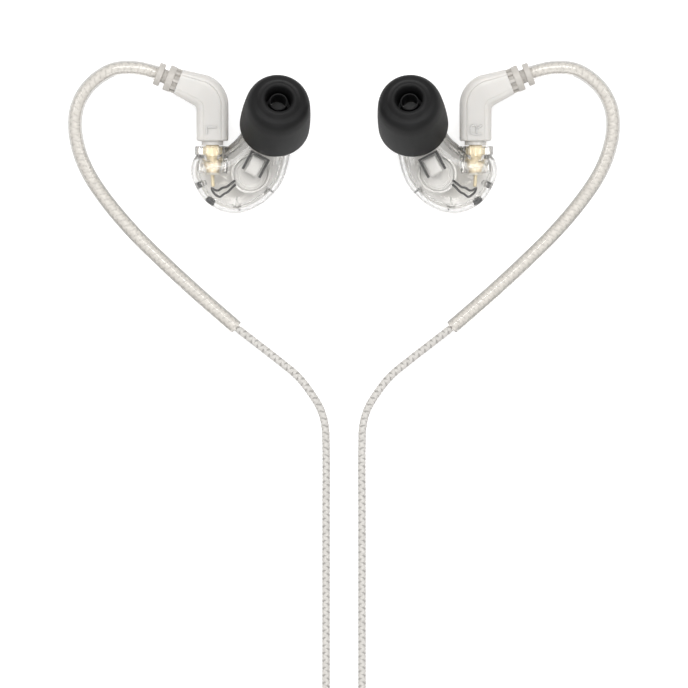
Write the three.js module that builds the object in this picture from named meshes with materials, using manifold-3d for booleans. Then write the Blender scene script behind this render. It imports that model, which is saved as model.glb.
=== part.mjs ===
// A pair of in ear monitors with clear shells, ear hooks and a detachable cable.
// Millimetres, +Z up. The pair lies on its outer faces with the ear tips pointing up. The plane
// x = 0 is the mirror plane, +Y runs towards the top of the ear hooks, and the origin is on the
// ground, in the middle of the earpieces and hooks.
// Every function takes side, -1 for left and +1 for right. Its x values are distances outwards
// from the mirror plane.
import * as THREE from 'three';
import { mergeVertices } from 'three/addons/utils/BufferGeometryUtils.js';
import Module from 'manifold-3d';

const wasm = await Module();
wasm.setup();

// ---- driving dimensions ----
const GAP = 0.3; // between pieces that touch
const CONNECTOR_X = 24.7; // the connector's axis is parallel to Y
const CONNECTOR_Z = 5.5;

const SHELL_HEIGHT = 9.6;
const SHELL_EDGE = 2.0; // edge rounding
const SHELL_WALL = 0.9;
const SEAM_Z = 5.5; // the two shells meet here
const SHELL_OUTLINE = [
  [28.8, 5.3], [27.9, 2.1], [25.6, -1.1], [21.0, -3.05], [16.2, -1.7], [12.05, 2.2], [10.4, 6.9],
  [10.1, 11.2], [13.0, 15.2], [17.2, 14.5], [20.6, 10.6], [23.6, 8.6], [27.4, 8.2],
];
const OUTLINE_STEPS = 26;

const COLLAR_RADIUS = 3.3; // the shell's collar round the connector socket
const COLLAR_MOUTH_Y = 9.5;
const COLLAR_INNER_Y = 4.4;

const TIP_BASE = [12.97, 13.8, 11.0]; // middle of the ear tip's skirt edge
const TIP_TILT_Y = 0.409;
const TIP_TILT_X = -0.0716; // towards the mirror plane
const TIP_SKIRT_RADIUS = 6.58;
const TIP_HEIGHT = 11.5;
const TIP_OVERHANG = 0.6; // of the skirt below TIP_BASE
const NOZZLE_RADIUS = 1.55;

const VENT_CENTRE = [25.05, -0.62, 7.75];
const VENT_AXIS = [0.52, -0.66, 0.56];
const VENT_RADIUS = 1.05;

const BOOT_BOTTOM_Y = 10.6;
const BOOT_HALF_WIDTH = 3.0;
const ELBOW_Y = 17.3; // centre of the boot's elbow, at its inner corner
const BOOT_END = [31.13, 21.71];
const BOOT_END_HALF_WIDTH = 2.45;
const RELIEF_AXIS = [0.93, 0.367];
const BARREL_RADIUS = 1.2;

const HOOK_RADIUS = 1.3;
const HOOK_BORE = 0.95;
const BRANCH_RADIUS = 0.725;
const HOOK_ROUTE = [
  [35.5, 23.43, 5.5], [39.1, 24.25, 5.45], [43.6, 23.9, 5.2], [47.85, 20.95, 4.7],
  [50.0, 17.3, 4.1], [50.55, 13.5, 3.45], [49.8, 8.9, 2.7], [48.0, 4.5, 2.0], [45.0, -0.1, 1.5],
  [40.0, -6.1, 1.32], [34.0, -12.1, 1.32], [27.5, -18.1, 1.32], [20.18, -24.48, 1.32],
];

// the free cable: each branch lies straight, is wound in a small coil, then runs to the splitter
const BRANCH_X = 3.38;
const BRANCH_ROUTE = [
  [19.94, -24.68, 1.3], [16.5, -27.35, 1.1], [12.5, -30.45, 0.85], [8.6, -33.72, 0.75],
  [5.97, -37.1, 0.75], [4.35, -39.95, 0.75], [3.55, -43.0, 0.75], [BRANCH_X, -46.5, 0.75],
  [BRANCH_X, -60, 0.75], [BRANCH_X, -75, 0.75], [BRANCH_X, -88, 0.75], [BRANCH_X, -100.2, 0.75],
];
const BRANCH_COIL_RADIUS = 8.4;
const BRANCH_COIL_Y = -105.5;
const BRANCH_COIL_HEIGHT = 6.0;
const TAIL_ROUTE = [
  [BRANCH_X, -110.8, 4.75], [3.3, -114.5, 3.7], [2.7, -119, 2.1], [1.75, -123.5, 1.35],
  [1.1, -128, 1.55], [0.87, -132, 1.7], [0.85, -138, 1.7], [0.85, -148, 1.7], [0.85, -157.7, 1.7],
];
const SLIDER_Y = -143;
const SLIDER_SIZE = [7, 8, 3.4];
const SPLITTER_Y = [-174, -158];
const MAIN_RADIUS = 1.1;
const LEAD_ROUTE = [[0, -174.3, 2.0], [0, -176.5, 1.6], [0, -179, 1.2], [0, -181.2, 1.1]];
const MAIN_COIL_CENTRE = [15.9, -190];
const MAIN_COIL_RADII = [6.9, 15.9]; // of the innermost and outermost turn
const MAIN_COIL_HEIGHT = 8.9;
const MAIN_TAIL_ROUTE = [
  [24.6, -205.85, 6.75], [30, -205.7, 4.5], [34.5, -205.2, 2.4], [38.5, -203.7, 1.3],
  [41.8, -200.7, 1.15], [43.6, -196.5, 1.4], [44, -192, 2.3], [44, -188.3, 3.1],
];
const PLUG_X = 44;
const PLUG_Z = 3.3;
const PLUG_START_Y = -188;

// ---- helpers ----
const CREAM = [0.86, 0.84, 0.8];
const CLEAR = [0.9, 0.9, 0.89];
const BLACK = [0.05, 0.05, 0.05];
const STEEL = [0.72, 0.72, 0.71];
const BRASS = [0.78, 0.62, 0.34];

function finish([r, g, b], roughness, metalness = 0) {
  return new THREE.MeshStandardMaterial({ color: new THREE.Color(r, g, b), roughness, metalness });
}

function merged(geometry) {
  const bare = geometry.clone();
  bare.deleteAttribute('normal');
  bare.deleteAttribute('uv');
  return mergeVertices(bare, 1e-4);
}

// Turns a geometry's faces over if they point inwards.
function facingOut(geometry) {
  const g = merged(geometry);
  const p = g.attributes.position;
  const corner = [new THREE.Vector3(), new THREE.Vector3(), new THREE.Vector3()];
  let volume = 0;
  for (let i = 0; i < g.index.count; i += 3) {
    corner.forEach((v, k) => v.fromBufferAttribute(p, g.index.getX(i + k)));
    volume += corner[0].dot(corner[1].cross(corner[2]));
  }
  if (volume < 0) {
    for (let i = 0; i < g.index.count; i += 3) {
      const first = g.index.getX(i);
      g.index.setX(i, g.index.getX(i + 1));
      g.index.setX(i + 1, first);
    }
  }
  return g;
}

function solid(geometry) {
  const g = facingOut(geometry);
  return new wasm.Manifold(new wasm.Mesh({
    numProp: 3,
    vertProperties: new Float32Array(g.attributes.position.array),
    triVerts: new Uint32Array(g.index.array),
  }));
}

function fromSolid(manifold) {
  const mesh = manifold.getMesh();
  const g = new THREE.BufferGeometry();
  g.setAttribute('position', new THREE.BufferAttribute(new Float32Array(mesh.vertProperties), 3));
  g.setIndex(new THREE.BufferAttribute(new Uint32Array(mesh.triVerts), 1));
  return g;
}

const object = new THREE.Group();

function add(group, name, geometry, material) {
  const mesh = new THREE.Mesh(geometry, material);
  mesh.name = name;
  group.add(mesh);
  return mesh;
}

// A solid turned about an axis. profile holds [radius, distance along the axis] pairs.
function turned(profile, segments = 16) {
  const points = [...profile, profile[0]].map(([r, h]) => new THREE.Vector2(r, h));
  return facingOut(new THREE.LatheGeometry(points, segments));
}

const UP = new THREE.Vector3(0, 1, 0);

function aimed(geometry, origin, direction) {
  const turn = new THREE.Quaternion().setFromUnitVectors(UP, direction.clone().normalize());
  return geometry.applyQuaternion(turn).translate(origin.x, origin.y, origin.z);
}

function routeCurve(points, side) {
  return new THREE.CatmullRomCurve3(
    points.map(([x, y, z]) => new THREE.Vector3(side * x, y, z)), false, 'centripetal');
}

function ringShape(outer, bore, sides) {
  const polygon = (radius) => Array.from({ length: sides }, (_, i) => {
    const angle = (2 * Math.PI * (i + 0.5)) / sides;
    return new THREE.Vector2(radius * Math.cos(angle), radius * Math.sin(angle));
  });
  const shape = new THREE.Shape(polygon(outer));
  if (bore > 0) shape.holes.push(new THREE.Path(polygon(bore).reverse()));
  return shape;
}

function tube(points, side, radius, steps, { sides = 8, bore = 0 } = {}) {
  return facingOut(new THREE.ExtrudeGeometry(ringShape(radius, bore, sides), {
    extrudePath: routeCurve(points, side), steps, bevelEnabled: false,
  }));
}

// A plate with rounded edges: an outline in X and Y that fills the height from z = low to high.
function plate(shape, low, high, edge, edgeSteps = 3, curveSegments = 6) {
  const geometry = new THREE.ExtrudeGeometry(shape, {
    depth: high - low - 2 * edge, bevelEnabled: edge > 0, bevelThickness: edge, bevelSize: edge,
    bevelOffset: -edge, bevelSegments: edgeSteps, curveSegments, steps: 1,
  });
  return geometry.translate(0, 0, low + edge);
}

function box(x0, x1, y0, y1, z0, z1) {
  return new THREE.BoxGeometry(x1 - x0, y1 - y0, z1 - z0)
    .translate((x0 + x1) / 2, (y0 + y1) / 2, (z0 + z1) / 2);
}

// ---- the earpiece ----
function shellShape(side, inset) {
  const curve = new THREE.CatmullRomCurve3(
    SHELL_OUTLINE.map(([x, y]) => new THREE.Vector3(side * x, y, 0)), true, 'centripetal');
  const points = curve.getSpacedPoints(OUTLINE_STEPS).slice(0, -1);
  const turnSign = THREE.ShapeUtils.area(points) > 0 ? 1 : -1;
  return new THREE.Shape(points.map((p, i) => {
    const before = points[(i + points.length - 1) % points.length];
    const after = points[(i + 1) % points.length];
    const along = after.clone().sub(before).normalize();
    return new THREE.Vector2(p.x - along.y * inset * turnSign, p.y + along.x * inset * turnSign);
  }));
}

function connectorCylinder(side, radius, y0, y1, segments = 20) {
  return new THREE.CylinderGeometry(radius, radius, y1 - y0, segments)
    .translate(side * CONNECTOR_X, (y0 + y1) / 2, CONNECTOR_Z);
}

function tipFrame(side) {
  const rise = Math.sqrt(1 - TIP_TILT_X ** 2 - TIP_TILT_Y ** 2);
  return {
    base: new THREE.Vector3(side * TIP_BASE[0], TIP_BASE[1], TIP_BASE[2]),
    axis: new THREE.Vector3(side * TIP_TILT_X, TIP_TILT_Y, rise),
  };
}

function alongTip(side, profile, segments) {
  const { base, axis } = tipFrame(side);
  return aimed(turned(profile, segments), base, axis);
}

// A disc or hole of the round vent, which faces out of the shell's rounded edge.
function alongVent(side, radius, low, high) {
  const [x, y, z] = VENT_CENTRE;
  const [dx, dy, dz] = VENT_AXIS;
  return aimed(turned([[0, low], [radius, low], [radius, high], [0, high]], 20),
    new THREE.Vector3(side * x, y, z), new THREE.Vector3(side * dx, dy, dz));
}

function addShells(group, side, prefix) {
  const body = solid(plate(shellShape(side, 0), 0, SHELL_HEIGHT, SHELL_EDGE));
  const cavity = solid(plate(
    shellShape(side, SHELL_WALL), SHELL_WALL, SHELL_HEIGHT - SHELL_WALL, SHELL_EDGE - 0.5, 2));
  const collar = solid(connectorCylinder(side, COLLAR_RADIUS, COLLAR_INNER_Y, COLLAR_MOUTH_Y));
  const socketBore = solid(connectorCylinder(side, 2.15, 0.5 * COLLAR_INNER_Y, COLLAR_MOUTH_Y + 1));
  const neck = solid(alongTip(side, [[0, -3.9], [3.7, -3.9], [2.6, 1.2], [0, 1.2]], 20));
  const nozzleBore = solid(alongTip(side, [[0, -6], [1.85, -6], [1.85, 3], [0, 3]], 20));
  const ventHole = solid(alongVent(side, VENT_RADIUS + GAP / 2, -2, 4));
  const hollow = body.subtract(cavity).add(collar).subtract(socketBore);

  const far = 40;
  const below = solid(box(-far, far, -far, far, -1, SEAM_Z - GAP / 2));
  const above = solid(box(-far, far, -far, far, SEAM_Z + GAP / 2, far));
  const clear = finish(CLEAR, 0.1);
  add(group, `${prefix}_shell_outer`, fromSolid(hollow.intersect(below)), clear);
  add(group, `${prefix}_shell_inner`,
    fromSolid(hollow.intersect(above).add(neck).subtract(nozzleBore).subtract(ventHole)), clear);
}

function addNozzle(group, side, prefix) {
  const r = NOZZLE_RADIUS;
  add(group, `${prefix}_nozzle`, alongTip(side, [
    [0.95, -3.7], [r, -3.7], [r, 4.2], [1.8, 4.7], [1.8, 5.2], [r, 6.4], [0.95, 6.4],
  ], 16), finish(CLEAR, 0.2));
  add(group, `${prefix}_nozzle_screen`,
    alongTip(side, [[0, 5.6], [0.88, 5.6], [0.88, 5.8], [0, 5.8]], 16), finish(STEEL, 0.4, 1));
}

function addEarTip(group, side, prefix) {
  const skirt = TIP_SKIRT_RADIUS;
  const top = TIP_HEIGHT;
  const profile = [
    [skirt, -TIP_OVERHANG], [skirt - 0.1, 3], [skirt - 0.35, 6.5], [6.0, 8.6], [5.5, 9.95], [4.9, 10.45],
    [4.35, 10.4], [4.0, 10.9], [3.55, top], [3.05, top], [2.7, 11.05], [2.55, 9.4], [1.9, 9.3],
    [1.83, 9.9], [1.55, 9.9], [1.55, 6.7], [2.05, 6.5], [2.05, 1.6], [2.85, 1.6], [2.95, 8.2],
    [3.7, 9.1], [4.9, 9.0], [5.5, 7.6], [5.95, 4], [skirt - 0.45, -TIP_OVERHANG],
  ];
  add(group, `${prefix}_ear_tip`, alongTip(side, profile, 18), finish(BLACK, 0.55));
}

const DRIVER_X = 17.4; // centre of the round dynamic driver
const DRIVER_Y = 4.4;
const ARMATURE_CENTRE = [16.67, 6.0];
const ARMATURE_TURN = 62.2 * (Math.PI / 180); // of its long side from the X axis

function addDrivers(group, side, prefix) {
  const centre = new THREE.Vector3(side * DRIVER_X, DRIVER_Y, 0);
  const upwards = new THREE.Vector3(0, 0, 1);
  const place = (profile, segments) => aimed(turned(profile, segments), centre, upwards);
  add(group, `${prefix}_driver_housing`, place([
    [0, 2.0], [3.7, 2.0], [3.7, 4.8], [3.3, 4.8], [3.3, 2.4], [0, 2.4],
  ], 20), finish(STEEL, 0.35, 1));
  add(group, `${prefix}_driver_magnet`,
    place([[0, 2.7], [2.4, 2.7], [2.4, 3.7], [0, 3.7]], 16), finish(STEEL, 0.3, 1));
  add(group, `${prefix}_driver_diaphragm`, place([
    [0, 4.3], [1.6, 4.3], [2.3, 4.05], [3.1, 4.05], [3.1, 4.2], [2.35, 4.2], [1.65, 4.5], [0, 4.5],
  ], 14), finish(CLEAR, 0.3));

  const turn = side * (Math.PI / 2 - ARMATURE_TURN);
  const placeFlat = (geometry) => geometry.rotateZ(turn)
    .translate(side * ARMATURE_CENTRE[0], ARMATURE_CENTRE[1], 0);
  add(group, `${prefix}_armature_driver`,
    placeFlat(box(-1.22, 1.22, -1.9, 1.55, 6.0, 8.0)), finish(STEEL, 0.3, 1));
  const cradle = new THREE.Shape([
    [-2.0, -1.7], [-1.52, -1.7], [-1.52, 1.85], [1.52, 1.85], [1.52, -1.7], [2.0, -1.7],
    [2.0, 2.2], [-2.0, 2.2],
  ].map(([x, y]) => new THREE.Vector2(x, y)));
  add(group, `${prefix}_driver_cradle`, placeFlat(plate(cradle, 5.9, 8.1, 0)), finish(BLACK, 0.6));
}

function addSocket(group, side, prefix) {
  const origin = new THREE.Vector3(side * CONNECTOR_X, 0, CONNECTOR_Z);
  const place = (profile, segments) => aimed(turned(profile, segments), origin, UP);
  const brass = finish(BRASS, 0.3, 1);
  add(group, `${prefix}_socket_body`, place([
    [0.75, 4.4], [1.25, 4.4], [1.25, 5.2], [1.9, 5.2], [1.9, 9.35], [1.5, 9.35], [1.5, 5.9],
    [0.75, 5.9],
  ], 16), brass);
  add(group, `${prefix}_socket_pin`, place([
    [0, 1.9], [0.36, 1.9], [0.36, 4.1], [0.5, 4.3], [0.5, 6.2], [0, 6.2],
  ], 12), brass);
  const wire = (points) => tube(points, side, 0.22, 8, { sides: 6 });
  add(group, `${prefix}_wire_signal`, wire([
    [24.35, 1.35, 5.8], [23.7, 1.2, 5.9], [22.8, 1.8, 5.9], [22.1, 1.95, 5.8], [20.95, 2.8, 5.6],
  ]), finish(BLACK, 0.5));
  add(group, `${prefix}_wire_ground`, wire([
    [24.9, 1.25, 5.2], [24.4, 0.5, 5.2], [23.4, -0.05, 5.3], [22.5, 0.6, 5.4], [21.9, 0.95, 5.4],
    [20.85, 2.0, 5.4],
  ]), finish(BLACK, 0.5));
  add(group, `${prefix}_vent_screen`, alongVent(side, VENT_RADIUS, -0.5, 0), finish(BLACK, 0.7));
}

// ---- the cable's end that plugs into the earpiece ----
function bootShape(side) {
  const inner = CONNECTOR_X + BOOT_HALF_WIDTH; // the straight side away from the mirror plane
  const outer = CONNECTOR_X - BOOT_HALF_WIDTH;
  const acrossEnd = new THREE.Vector2(-RELIEF_AXIS[1], RELIEF_AXIS[0])
    .multiplyScalar(BOOT_END_HALF_WIDTH);
  const end = new THREE.Vector2(...BOOT_END);
  const points = [new THREE.Vector2(outer, BOOT_BOTTOM_Y)];
  const arcSteps = 8;
  const arcEnd = Math.atan2(RELIEF_AXIS[0], -RELIEF_AXIS[1]); // square to the upper leg
  for (let i = 0; i <= arcSteps; i++) {
    const angle = Math.PI + (i / arcSteps) * (arcEnd - Math.PI);
    points.push(new THREE.Vector2(
      inner + 2 * BOOT_HALF_WIDTH * Math.cos(angle),
      ELBOW_Y + 2 * BOOT_HALF_WIDTH * Math.sin(angle)));
  }
  points.push(end.clone().add(acrossEnd));
  points.push(end.clone().sub(acrossEnd));
  points.push(new THREE.Vector2(inner + 0.35, ELBOW_Y - 0.1));
  points.push(new THREE.Vector2(inner, ELBOW_Y - 0.6));
  points.push(new THREE.Vector2(inner, BOOT_BOTTOM_Y));
  return new THREE.Shape(points.map((p) => new THREE.Vector2(side * p.x, p.y)));
}

function addPlugEnd(group, side, prefix) {
  const low = CONNECTOR_Z - BOOT_HALF_WIDTH;
  const high = CONNECTOR_Z + BOOT_HALF_WIDTH;
  const body = solid(plate(bootShape(side), low, high, 1.0));
  const neck = solid(connectorCylinder(side, 2.15, COLLAR_MOUTH_Y + GAP, BOOT_BOTTOM_Y + 1, 20));
  const hole = solid(connectorCylinder(side, BARREL_RADIUS + 0.2, COLLAR_MOUTH_Y - 1, 14, 16));
  add(group, `${prefix}_boot`, fromSolid(body.add(neck).subtract(hole)), finish(CREAM, 0.35));

  const origin = new THREE.Vector3(side * CONNECTOR_X, 0, CONNECTOR_Z);
  const place = (profile, segments) => aimed(turned(profile, segments), origin, UP);
  const brass = finish(BRASS, 0.3, 1);
  const r = BARREL_RADIUS;
  add(group, `${prefix}_plug_barrel`,
    place([[0.85, 6.5], [r, 6.5], [r, 13.6], [0.85, 13.6]], 20), brass);
  add(group, `${prefix}_plug_pin`, place([[0, 6.6], [0.3, 6.6], [0.3, 13.6], [0, 13.6]], 10), brass);

  const ring = solid(place([[r + 0.06, 7.2], [1.44, 7.2], [1.44, 7.7], [r + 0.06, 7.7]], 20));
  const x = side * CONNECTOR_X;
  const slot = solid(box(x - 0.4, x + 0.4, 7, 8, CONNECTOR_Z, CONNECTOR_Z + 3));
  add(group, `${prefix}_snap_ring`, fromSolid(ring.subtract(slot)), finish(STEEL, 0.3, 1));

  const axis = new THREE.Vector3(side * RELIEF_AXIS[0], RELIEF_AXIS[1], 0).normalize();
  const end = new THREE.Vector3(side * BOOT_END[0], BOOT_END[1], CONNECTOR_Z);
  add(group, `${prefix}_strain_relief`, aimed(turned([
    [0.85, 0.3], [2.3, 0.3], [2.3, 1.1], [2.45, 1.15], [2.45, 2.3], [1.45, 2.5], [1.35, 3.1],
    [2.1, 3.3], [2.1, 4.3], [0.85, 4.3],
  ], 16), end, axis), finish(CREAM, 0.4));

  const cableRoute = [
    [BOOT_END[0] + 0.3 * RELIEF_AXIS[0], BOOT_END[1] + 0.3 * RELIEF_AXIS[1], CONNECTOR_Z],
    [BOOT_END[0] + 2.5 * RELIEF_AXIS[0], BOOT_END[1] + 2.5 * RELIEF_AXIS[1], CONNECTOR_Z],
    ...HOOK_ROUTE,
  ];
  add(group, `${prefix}_hook_tube`,
    tube(HOOK_ROUTE, side, HOOK_RADIUS, 22, { bore: HOOK_BORE }), finish(CLEAR, 0.15));
  add(group, `${prefix}_hook_cable`, tube(cableRoute, side, BRANCH_RADIUS, 22, { sides: 6 }), finish(CREAM, 0.5));
}

// ---- the free cable ----
function coilRing(centreX, centreY, innerTurn, outerTurn, cableRadius, height, segments) {
  return aimed(turned([
    [innerTurn - cableRadius, 0.02], [outerTurn + cableRadius, 0.02],
    [outerTurn + cableRadius, height], [innerTurn - cableRadius, height],
  ], segments), new THREE.Vector3(centreX, centreY, 0), new THREE.Vector3(0, 0, 1));
}

function addBranch(group, side, prefix) {
  const cream = finish(CREAM, 0.5);
  add(group, `${prefix}_branch_cable`, tube(BRANCH_ROUTE, side, BRANCH_RADIUS, 26), cream);
  const r = BRANCH_COIL_RADIUS;
  add(group, `${prefix}_branch_coil`, coilRing(
    side * (BRANCH_X + r), BRANCH_COIL_Y, r, r, BRANCH_RADIUS + 0.03, BRANCH_COIL_HEIGHT, 32), cream);
  add(group, `${prefix}_branch_tail`, tube(TAIL_ROUTE, side, BRANCH_RADIUS, 14), cream);
}

function addSliderAndSplitter(group) {
  const [width, length, height] = SLIDER_SIZE;
  const front = new THREE.Shape();
  const slot = new THREE.Path();
  const r = 1.0;
  slot.absarc(0.85, 0, r, -Math.PI / 2, Math.PI / 2, false);
  slot.absarc(-0.85, 0, r, Math.PI / 2, 1.5 * Math.PI, false);
  const h = height / 2;
  front.absarc(width / 2 - h, 0, h, -Math.PI / 2, Math.PI / 2, false);
  front.absarc(-(width / 2 - h), 0, h, Math.PI / 2, 1.5 * Math.PI, false);
  front.holes.push(slot);
  const slider = new THREE.ExtrudeGeometry(front, {
    depth: length, bevelEnabled: false, curveSegments: 6,
  });
  slider.rotateX(Math.PI / 2).translate(0, SLIDER_Y + length / 2, h + 0.02);
  add(group, 'chin_slider', facingOut(slider), finish(CREAM, 0.4));

  const [low, high] = SPLITTER_Y;
  const outline = new THREE.Shape();
  outline.moveTo(-3.4, high);
  outline.lineTo(3.4, high);
  outline.lineTo(3.4, high - 6);
  outline.bezierCurveTo(3.4, high - 10, 2.1, high - 11, 1.9, low);
  outline.lineTo(-1.9, low);
  outline.bezierCurveTo(-2.1, high - 11, -3.4, high - 10, -3.4, high - 6);
  add(group, 'splitter', facingOut(plate(outline, 0.02, 4.0, 0.9, 3, 5)), finish(CREAM, 0.4));
}

function addMainCable(group) {
  const cream = finish(CREAM, 0.5);
  add(group, 'main_lead', tube(LEAD_ROUTE, 1, MAIN_RADIUS, 4), cream);
  add(group, 'main_coil', coilRing(
    ...MAIN_COIL_CENTRE, ...MAIN_COIL_RADII, MAIN_RADIUS, MAIN_COIL_HEIGHT, 36), cream);
  add(group, 'main_tail', tube(MAIN_TAIL_ROUTE, 1, MAIN_RADIUS, 14), cream);

  const origin = new THREE.Vector3(PLUG_X, PLUG_START_Y, PLUG_Z);
  const place = (profile, segments) => aimed(turned(profile, segments), origin, UP);
  const gold = finish(BRASS, 0.25, 1);
  add(group, 'plug_relief', place([[0, 0], [1.6, 0], [2.4, 8.7], [0, 8.7]], 16), cream);
  add(group, 'plug_housing', place([
    [0, 9], [2.9, 9], [3.2, 9.6], [3.2, 26.4], [2.7, 27], [0, 27],
  ], 20), finish(CREAM, 0.35));
  add(group, 'jack_sleeve', place([[0, 27.3], [1.75, 27.3], [1.75, 35], [0, 35]], 16), gold);
  add(group, 'jack_ring', place([[0, 35.3], [1.75, 35.3], [1.75, 37.5], [0, 37.5]], 16), gold);
  add(group, 'jack_tip', place([
    [0, 37.8], [1.5, 37.8], [1.72, 38.4], [1.1, 39.2], [1.65, 40.2], [0.5, 41.3], [0, 41.3],
  ], 16), gold);
}

for (const [prefix, side] of [['left', -1], ['right', 1]]) {
  const earpiece = new THREE.Group();
  addShells(earpiece, side, prefix);
  addNozzle(earpiece, side, prefix);
  addEarTip(earpiece, side, prefix);
  addDrivers(earpiece, side, prefix);
  addSocket(earpiece, side, prefix);
  const cableEnd = new THREE.Group();
  addPlugEnd(cableEnd, side, prefix);
  addBranch(cableEnd, side, prefix);
  object.add(earpiece, cableEnd);
}
addSliderAndSplitter(object);
addMainCable(object);

export default object;
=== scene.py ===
import math

import bmesh
import bpy
import numpy as np
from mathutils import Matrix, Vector
from mathutils.geometry import delaunay_2d_cdt


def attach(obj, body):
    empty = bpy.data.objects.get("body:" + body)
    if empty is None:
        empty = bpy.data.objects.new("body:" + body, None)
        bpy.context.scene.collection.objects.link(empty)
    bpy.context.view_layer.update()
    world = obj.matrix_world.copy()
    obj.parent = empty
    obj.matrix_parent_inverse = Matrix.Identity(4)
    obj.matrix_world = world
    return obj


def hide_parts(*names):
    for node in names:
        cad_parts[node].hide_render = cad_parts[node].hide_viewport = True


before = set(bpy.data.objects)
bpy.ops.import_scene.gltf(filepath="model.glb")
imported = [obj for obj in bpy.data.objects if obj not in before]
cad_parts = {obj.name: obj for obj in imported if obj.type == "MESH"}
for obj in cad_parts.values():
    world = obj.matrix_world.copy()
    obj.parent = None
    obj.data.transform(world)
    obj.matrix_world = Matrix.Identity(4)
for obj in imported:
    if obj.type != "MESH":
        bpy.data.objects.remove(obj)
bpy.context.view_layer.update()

# All shapes are worked out in millimetres for the right side, x being the distance outwards
# from the mirror plane. The left side is its mirror image. MM turns them into metres.
MM = 0.001
SIDES = (("left", -1), ("right", 1))
CABLE = "cable_assembly"

# ---- dimensions, as in part.mjs unless a comment says otherwise ----
CONNECTOR_X = 24.7
CONNECTOR_Z = 5.5
SHELL_TOP = 9.6
SEAM_Z = 5.5
SHELL_OUTLINE = [
    (28.8, 5.3), (27.9, 2.1), (25.6, -1.1), (21.0, -3.05), (16.2, -1.7), (12.05, 2.2),
    (10.4, 6.9), (10.1, 11.2), (13.0, 15.2), (17.2, 14.5), (20.6, 10.6), (23.6, 8.6),
    (27.4, 8.2),
]
COLLAR_RADIUS = 3.3
TIP_BASE = Vector((12.97, 13.8, 11.0))
TIP_AXIS = Vector((-0.0716, 0.409, math.sqrt(1 - 0.0716**2 - 0.409**2)))
BOOT_BOTTOM_Y = 10.6
BOOT_HALF_WIDTH = 3.0
ELBOW = np.array((27.7, 17.3))
BOOT_END = np.array((31.13, 21.71))
BOOT_END_HALF_WIDTH = 2.45
RELIEF_AXIS = np.array((0.93, 0.367))
HOOK_RADIUS = 1.34  # of the sleeve, 0.04 more than in part.mjs
BRANCH_RADIUS = 0.725
BRANCH_LOW = 0.75  # height of a branch's middle where it lies on the floor
HOOK_ROUTE = [
    (35.5, 23.43, 5.5), (39.1, 24.25, 5.45), (43.6, 23.9, 5.2), (47.85, 20.95, 4.7),
    (50.0, 17.3, 4.1), (50.55, 13.5, 3.45), (49.8, 8.9, 2.7), (48.0, 4.5, 2.0),
    (45.0, -0.1, 1.5), (40.0, -6.1, 1.32), (34.0, -12.1, 1.32), (27.5, -18.1, 1.32),
    (20.18, -24.48, 1.32),
]
BRANCH_X = 3.38
BRANCH_ROUTE = [
    (19.94, -24.68, 1.3), (16.5, -27.35, 1.1), (12.5, -30.45, 0.85),
    (8.6, -33.72, BRANCH_LOW), (5.97, -37.1, BRANCH_LOW), (4.35, -39.95, BRANCH_LOW),
    (3.55, -43.0, BRANCH_LOW), (BRANCH_X, -46.5, BRANCH_LOW), (BRANCH_X, -60, BRANCH_LOW),
    (BRANCH_X, -75, BRANCH_LOW), (BRANCH_X, -88, BRANCH_LOW), (BRANCH_X, -100.2, BRANCH_LOW),
]
BRANCH_COIL_RADIUS = 8.4
BRANCH_COIL_Y = -105.5
TAIL_ROUTE = [
    (BRANCH_X, -110.8, 4.75), (3.3, -114.5, 3.7), (2.7, -119, 2.1), (1.75, -123.5, 1.35),
    (1.1, -128, 1.55), (0.87, -132, 1.7), (0.85, -138, 1.7), (0.85, -148, 1.7),
    (0.85, -157.7, 1.7),
]
SLIDER_Y = -143
SPLITTER_Y = (-174, -158)
MAIN_RADIUS = 1.1
LEAD_ROUTE = [(0, -174.3, 2.0), (0, -176.5, 1.6), (0, -179, 1.2), (0, -181.2, 1.1)]
MAIN_COIL_CENTRE = (15.9, -190)
MAIN_COIL_RADII = (6.9, 15.9)
MAIN_TAIL_ROUTE = [
    (24.6, -205.85, 6.75), (30, -205.7, 4.5), (34.5, -205.2, 2.4), (38.5, -203.7, 1.3),
    (41.8, -200.7, 1.15), (43.6, -196.5, 1.4), (44, -192, 2.3), (44, -188.3, 3.1),
]
PLUG_START = Vector((44, -188, 3.3))
ALONG_Y = Vector((0, 1, 0))
ALONG_Z = Vector((0, 0, 1))
UP = np.array((0, 0, 1.0))


# ---- curves ----
def spline(points, closed=False, per=24):
    """Points on the centripetal Catmull-Rom curve that part.mjs uses."""
    p = np.array(points, float)
    if closed:
        p = np.vstack([p[-1], p, p[0], p[1]])
    else:
        p = np.vstack([2 * p[0] - p[1], p, 2 * p[-1] - p[-2]])
    t = np.linspace(0, 1, per, endpoint=False)[:, None]
    out = []
    for a, b, c, d in zip(p, p[1:], p[2:], p[3:]):
        before, here, after = (np.linalg.norm(v) ** 0.5 for v in (b - a, c - b, d - c))
        start = ((b - a) / before - (c - a) / (before + here) + (c - b) / here) * here
        end = ((c - b) / here - (d - b) / (here + after) + (d - c) / after) * here
        out.append(
            (2 * t**3 - 3 * t**2 + 1) * b + (t**3 - 2 * t**2 + t) * start
            + (3 * t**2 - 2 * t**3) * c + (t**3 - t**2) * end
        )
    out.append(p[-2][None])
    return np.vstack(out)


def run_along(path):
    """The distance along a line at each of its points."""
    return np.concatenate([[0], np.cumsum(np.linalg.norm(np.diff(path, axis=0), axis=1))])


def even(points, step):
    """The same line with points about step apart, and the distance along it at each."""
    p = np.array(points, float)
    run = run_along(p)
    at = np.linspace(0, run[-1], max(2, round(run[-1] / step) + 1))
    return np.stack([np.interp(at, run, p[:, k]) for k in range(p.shape[1])], axis=1), at


def unit(v):
    return v / np.maximum(np.linalg.norm(v, axis=-1, keepdims=True), 1e-12)


def frames(path):
    """Tangent, level side and upper direction at each point of a path that is never upright."""
    along = unit(np.gradient(path, axis=0))
    side = unit(np.cross(UP, along))
    return along, side, np.cross(along, side)


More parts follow.
